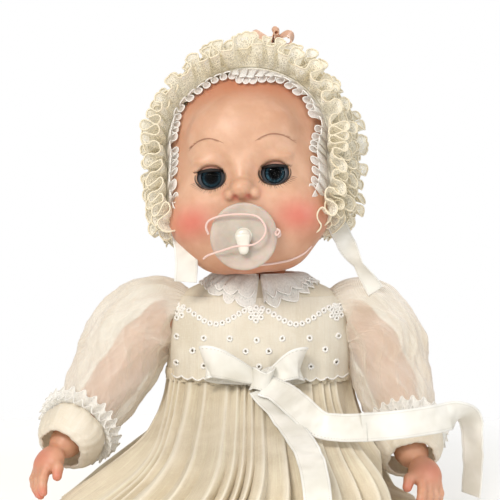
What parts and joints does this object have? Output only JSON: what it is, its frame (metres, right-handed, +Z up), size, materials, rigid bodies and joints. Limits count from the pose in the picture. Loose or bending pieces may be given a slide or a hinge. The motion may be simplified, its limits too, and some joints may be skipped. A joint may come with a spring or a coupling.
{
  "type": "baby doll",
  "caption": "Seated vinyl baby doll with sleep eyes, turning head and limbs, lace bonnet, pleated dress with organza sleeves, satin sash and a toy pacifier.",
  "frame": {"origin": "centre of the flat seat under the torso, on the plane the doll sits on", "axes": "+Z up, the doll faces -Y, +X towards the doll's own left hand"},
  "size_m": [0.2053, 0.2027, 0.2283],
  "materials": {
    "vinyl_skin": "satin soft vinyl",
    "eye_white": "gloss",
    "iris_blue": "gloss",
    "clear_lens": "clear moulded plastic",
    "lid_paint": "satin",
    "lash_fibre": "bristle",
    "eye_case_plastic": "as moulded",
    "axle_wire": "drawn wire",
    "weight_iron": "cast",
    "shield_clear": "frosted, translucent",
    "knob_white": "gloss",
    "cord_pink": "covered elastic",
    "ivory_lace": "net lace",
    "white_lace": "cotton lace",
    "bonnet_cloth": "plain weave",
    "bodice_cloth": "sheer cotton, plain weave",
    "eyelet_cloth": "embroidered batiste",
    "skirt_cloth": "sheer cotton, pleated",
    "organza": "organza",
    "cuff_cloth": "plain weave",
    "satin_ribbon": "satin",
    "pearl_button": "pearl"
  },
  "bodies": {
    "torso": {"torso_shell": "vinyl_skin", "bodice_front": "bodice_cloth", "bodice_back_left": "bodice_cloth", "bodice_back_right": "bodice_cloth", "eyelet_overlay": "eyelet_cloth", "back_buttons": "pearl_button", "collar_lace": "white_lace", "skirt": "skirt_cloth", "waistband": "bodice_cloth", "sash_knot": "satin_ribbon", "sash_loop_left": "satin_ribbon", "sash_loop_right": "satin_ribbon", "sash_tail_short": "satin_ribbon", "sash_tail_long": "satin_ribbon"},
    "head": {"head_shell": "vinyl_skin", "eye_case_left": "eye_case_plastic", "eye_case_right": "eye_case_plastic", "bonnet_cap": "bonnet_cloth", "bonnet_ruffle_1": "ivory_lace", "bonnet_ruffle_2": "ivory_lace", "bonnet_ruffle_3": "ivory_lace", "bonnet_ruffle_4": "ivory_lace", "bonnet_ruffle_5": "ivory_lace", "bonnet_tie_left": "satin_ribbon", "bonnet_tie_right": "satin_ribbon", "bonnet_ribbon_knot": "satin_ribbon", "pacifier_cord_neck": "cord_pink"},
    "pacifier": {"pacifier_shield": "shield_clear", "pacifier_nipple": "shield_clear", "pacifier_knob": "knob_white", "pacifier_cord_loop": "cord_pink"},
    "eye_left": {"eyeball_left": "eye_white", "iris_left": "iris_blue", "eye_lens_left": "clear_lens", "eyelid_left": "lid_paint", "eyelashes_left": "lash_fibre", "eye_axle_left": "axle_wire", "eye_weight_left": "weight_iron"},
    "eye_right": {"eyeball_right": "eye_white", "iris_right": "iris_blue", "eye_lens_right": "clear_lens", "eyelid_right": "lid_paint", "eyelashes_right": "lash_fibre", "eye_axle_right": "axle_wire", "eye_weight_right": "weight_iron"},
    "arm_left": {"arm_left": "vinyl_skin", "sleeve_left": "organza", "cuff_left": "cuff_cloth", "cuff_lace_left": "white_lace", "sash_tail_draped": "satin_ribbon"},
    "arm_right": {"arm_right": "vinyl_skin", "sleeve_right": "organza", "cuff_right": "cuff_cloth", "cuff_lace_right": "white_lace"},
    "leg_left": {"leg_left": "vinyl_skin"},
    "leg_right": {"leg_right": "vinyl_skin"}
  },
  "joints": [
    {"name": "head_turn", "type": "hinge", "parent": "torso", "child": "head", "pos_m": [0, 0.002, 0.102], "axis": [-0.061, 0.087, 0.9943], "range_deg": [-40, 40]},
    {"name": "eye_blink_left", "type": "hinge", "parent": "head", "child": "eye_left", "pos_m": [0.00766, -0.02578, 0.1582], "axis": [0.9907, -0.1161, 0.071], "range_deg": [0, 56]},
    {"name": "eye_blink_right", "type": "hinge", "parent": "head", "child": "eye_right", "pos_m": [-0.02167, -0.02234, 0.1561], "axis": [0.9907, -0.1161, 0.071], "range_deg": [0, 56]},
    {"name": "pacifier_pull", "type": "slide", "parent": "head", "child": "pacifier", "axis": [-0.1216, -0.9894, 0.0791], "range_m": [0, 0.02]},
    {"name": "shoulder_left", "type": "hinge", "parent": "torso", "child": "arm_left", "pos_m": [0.033, 0.002, 0.086], "axis": [-1, 0, 0], "range_deg": [0, 70]},
    {"name": "shoulder_right", "type": "hinge", "parent": "torso", "child": "arm_right", "pos_m": [-0.033, 0.002, 0.086], "axis": [-1, 0, 0], "range_deg": [0, 70]},
    {"name": "hip_left", "type": "hinge", "parent": "torso", "child": "leg_left", "pos_m": [0.027, -0.004, 0.02], "axis": [1, 0, 0], "range_deg": [0, 85]},
    {"name": "hip_right", "type": "hinge", "parent": "torso", "child": "leg_right", "pos_m": [-0.027, -0.004, 0.02], "axis": [1, 0, 0], "range_deg": [0, 85]}
  ]
}
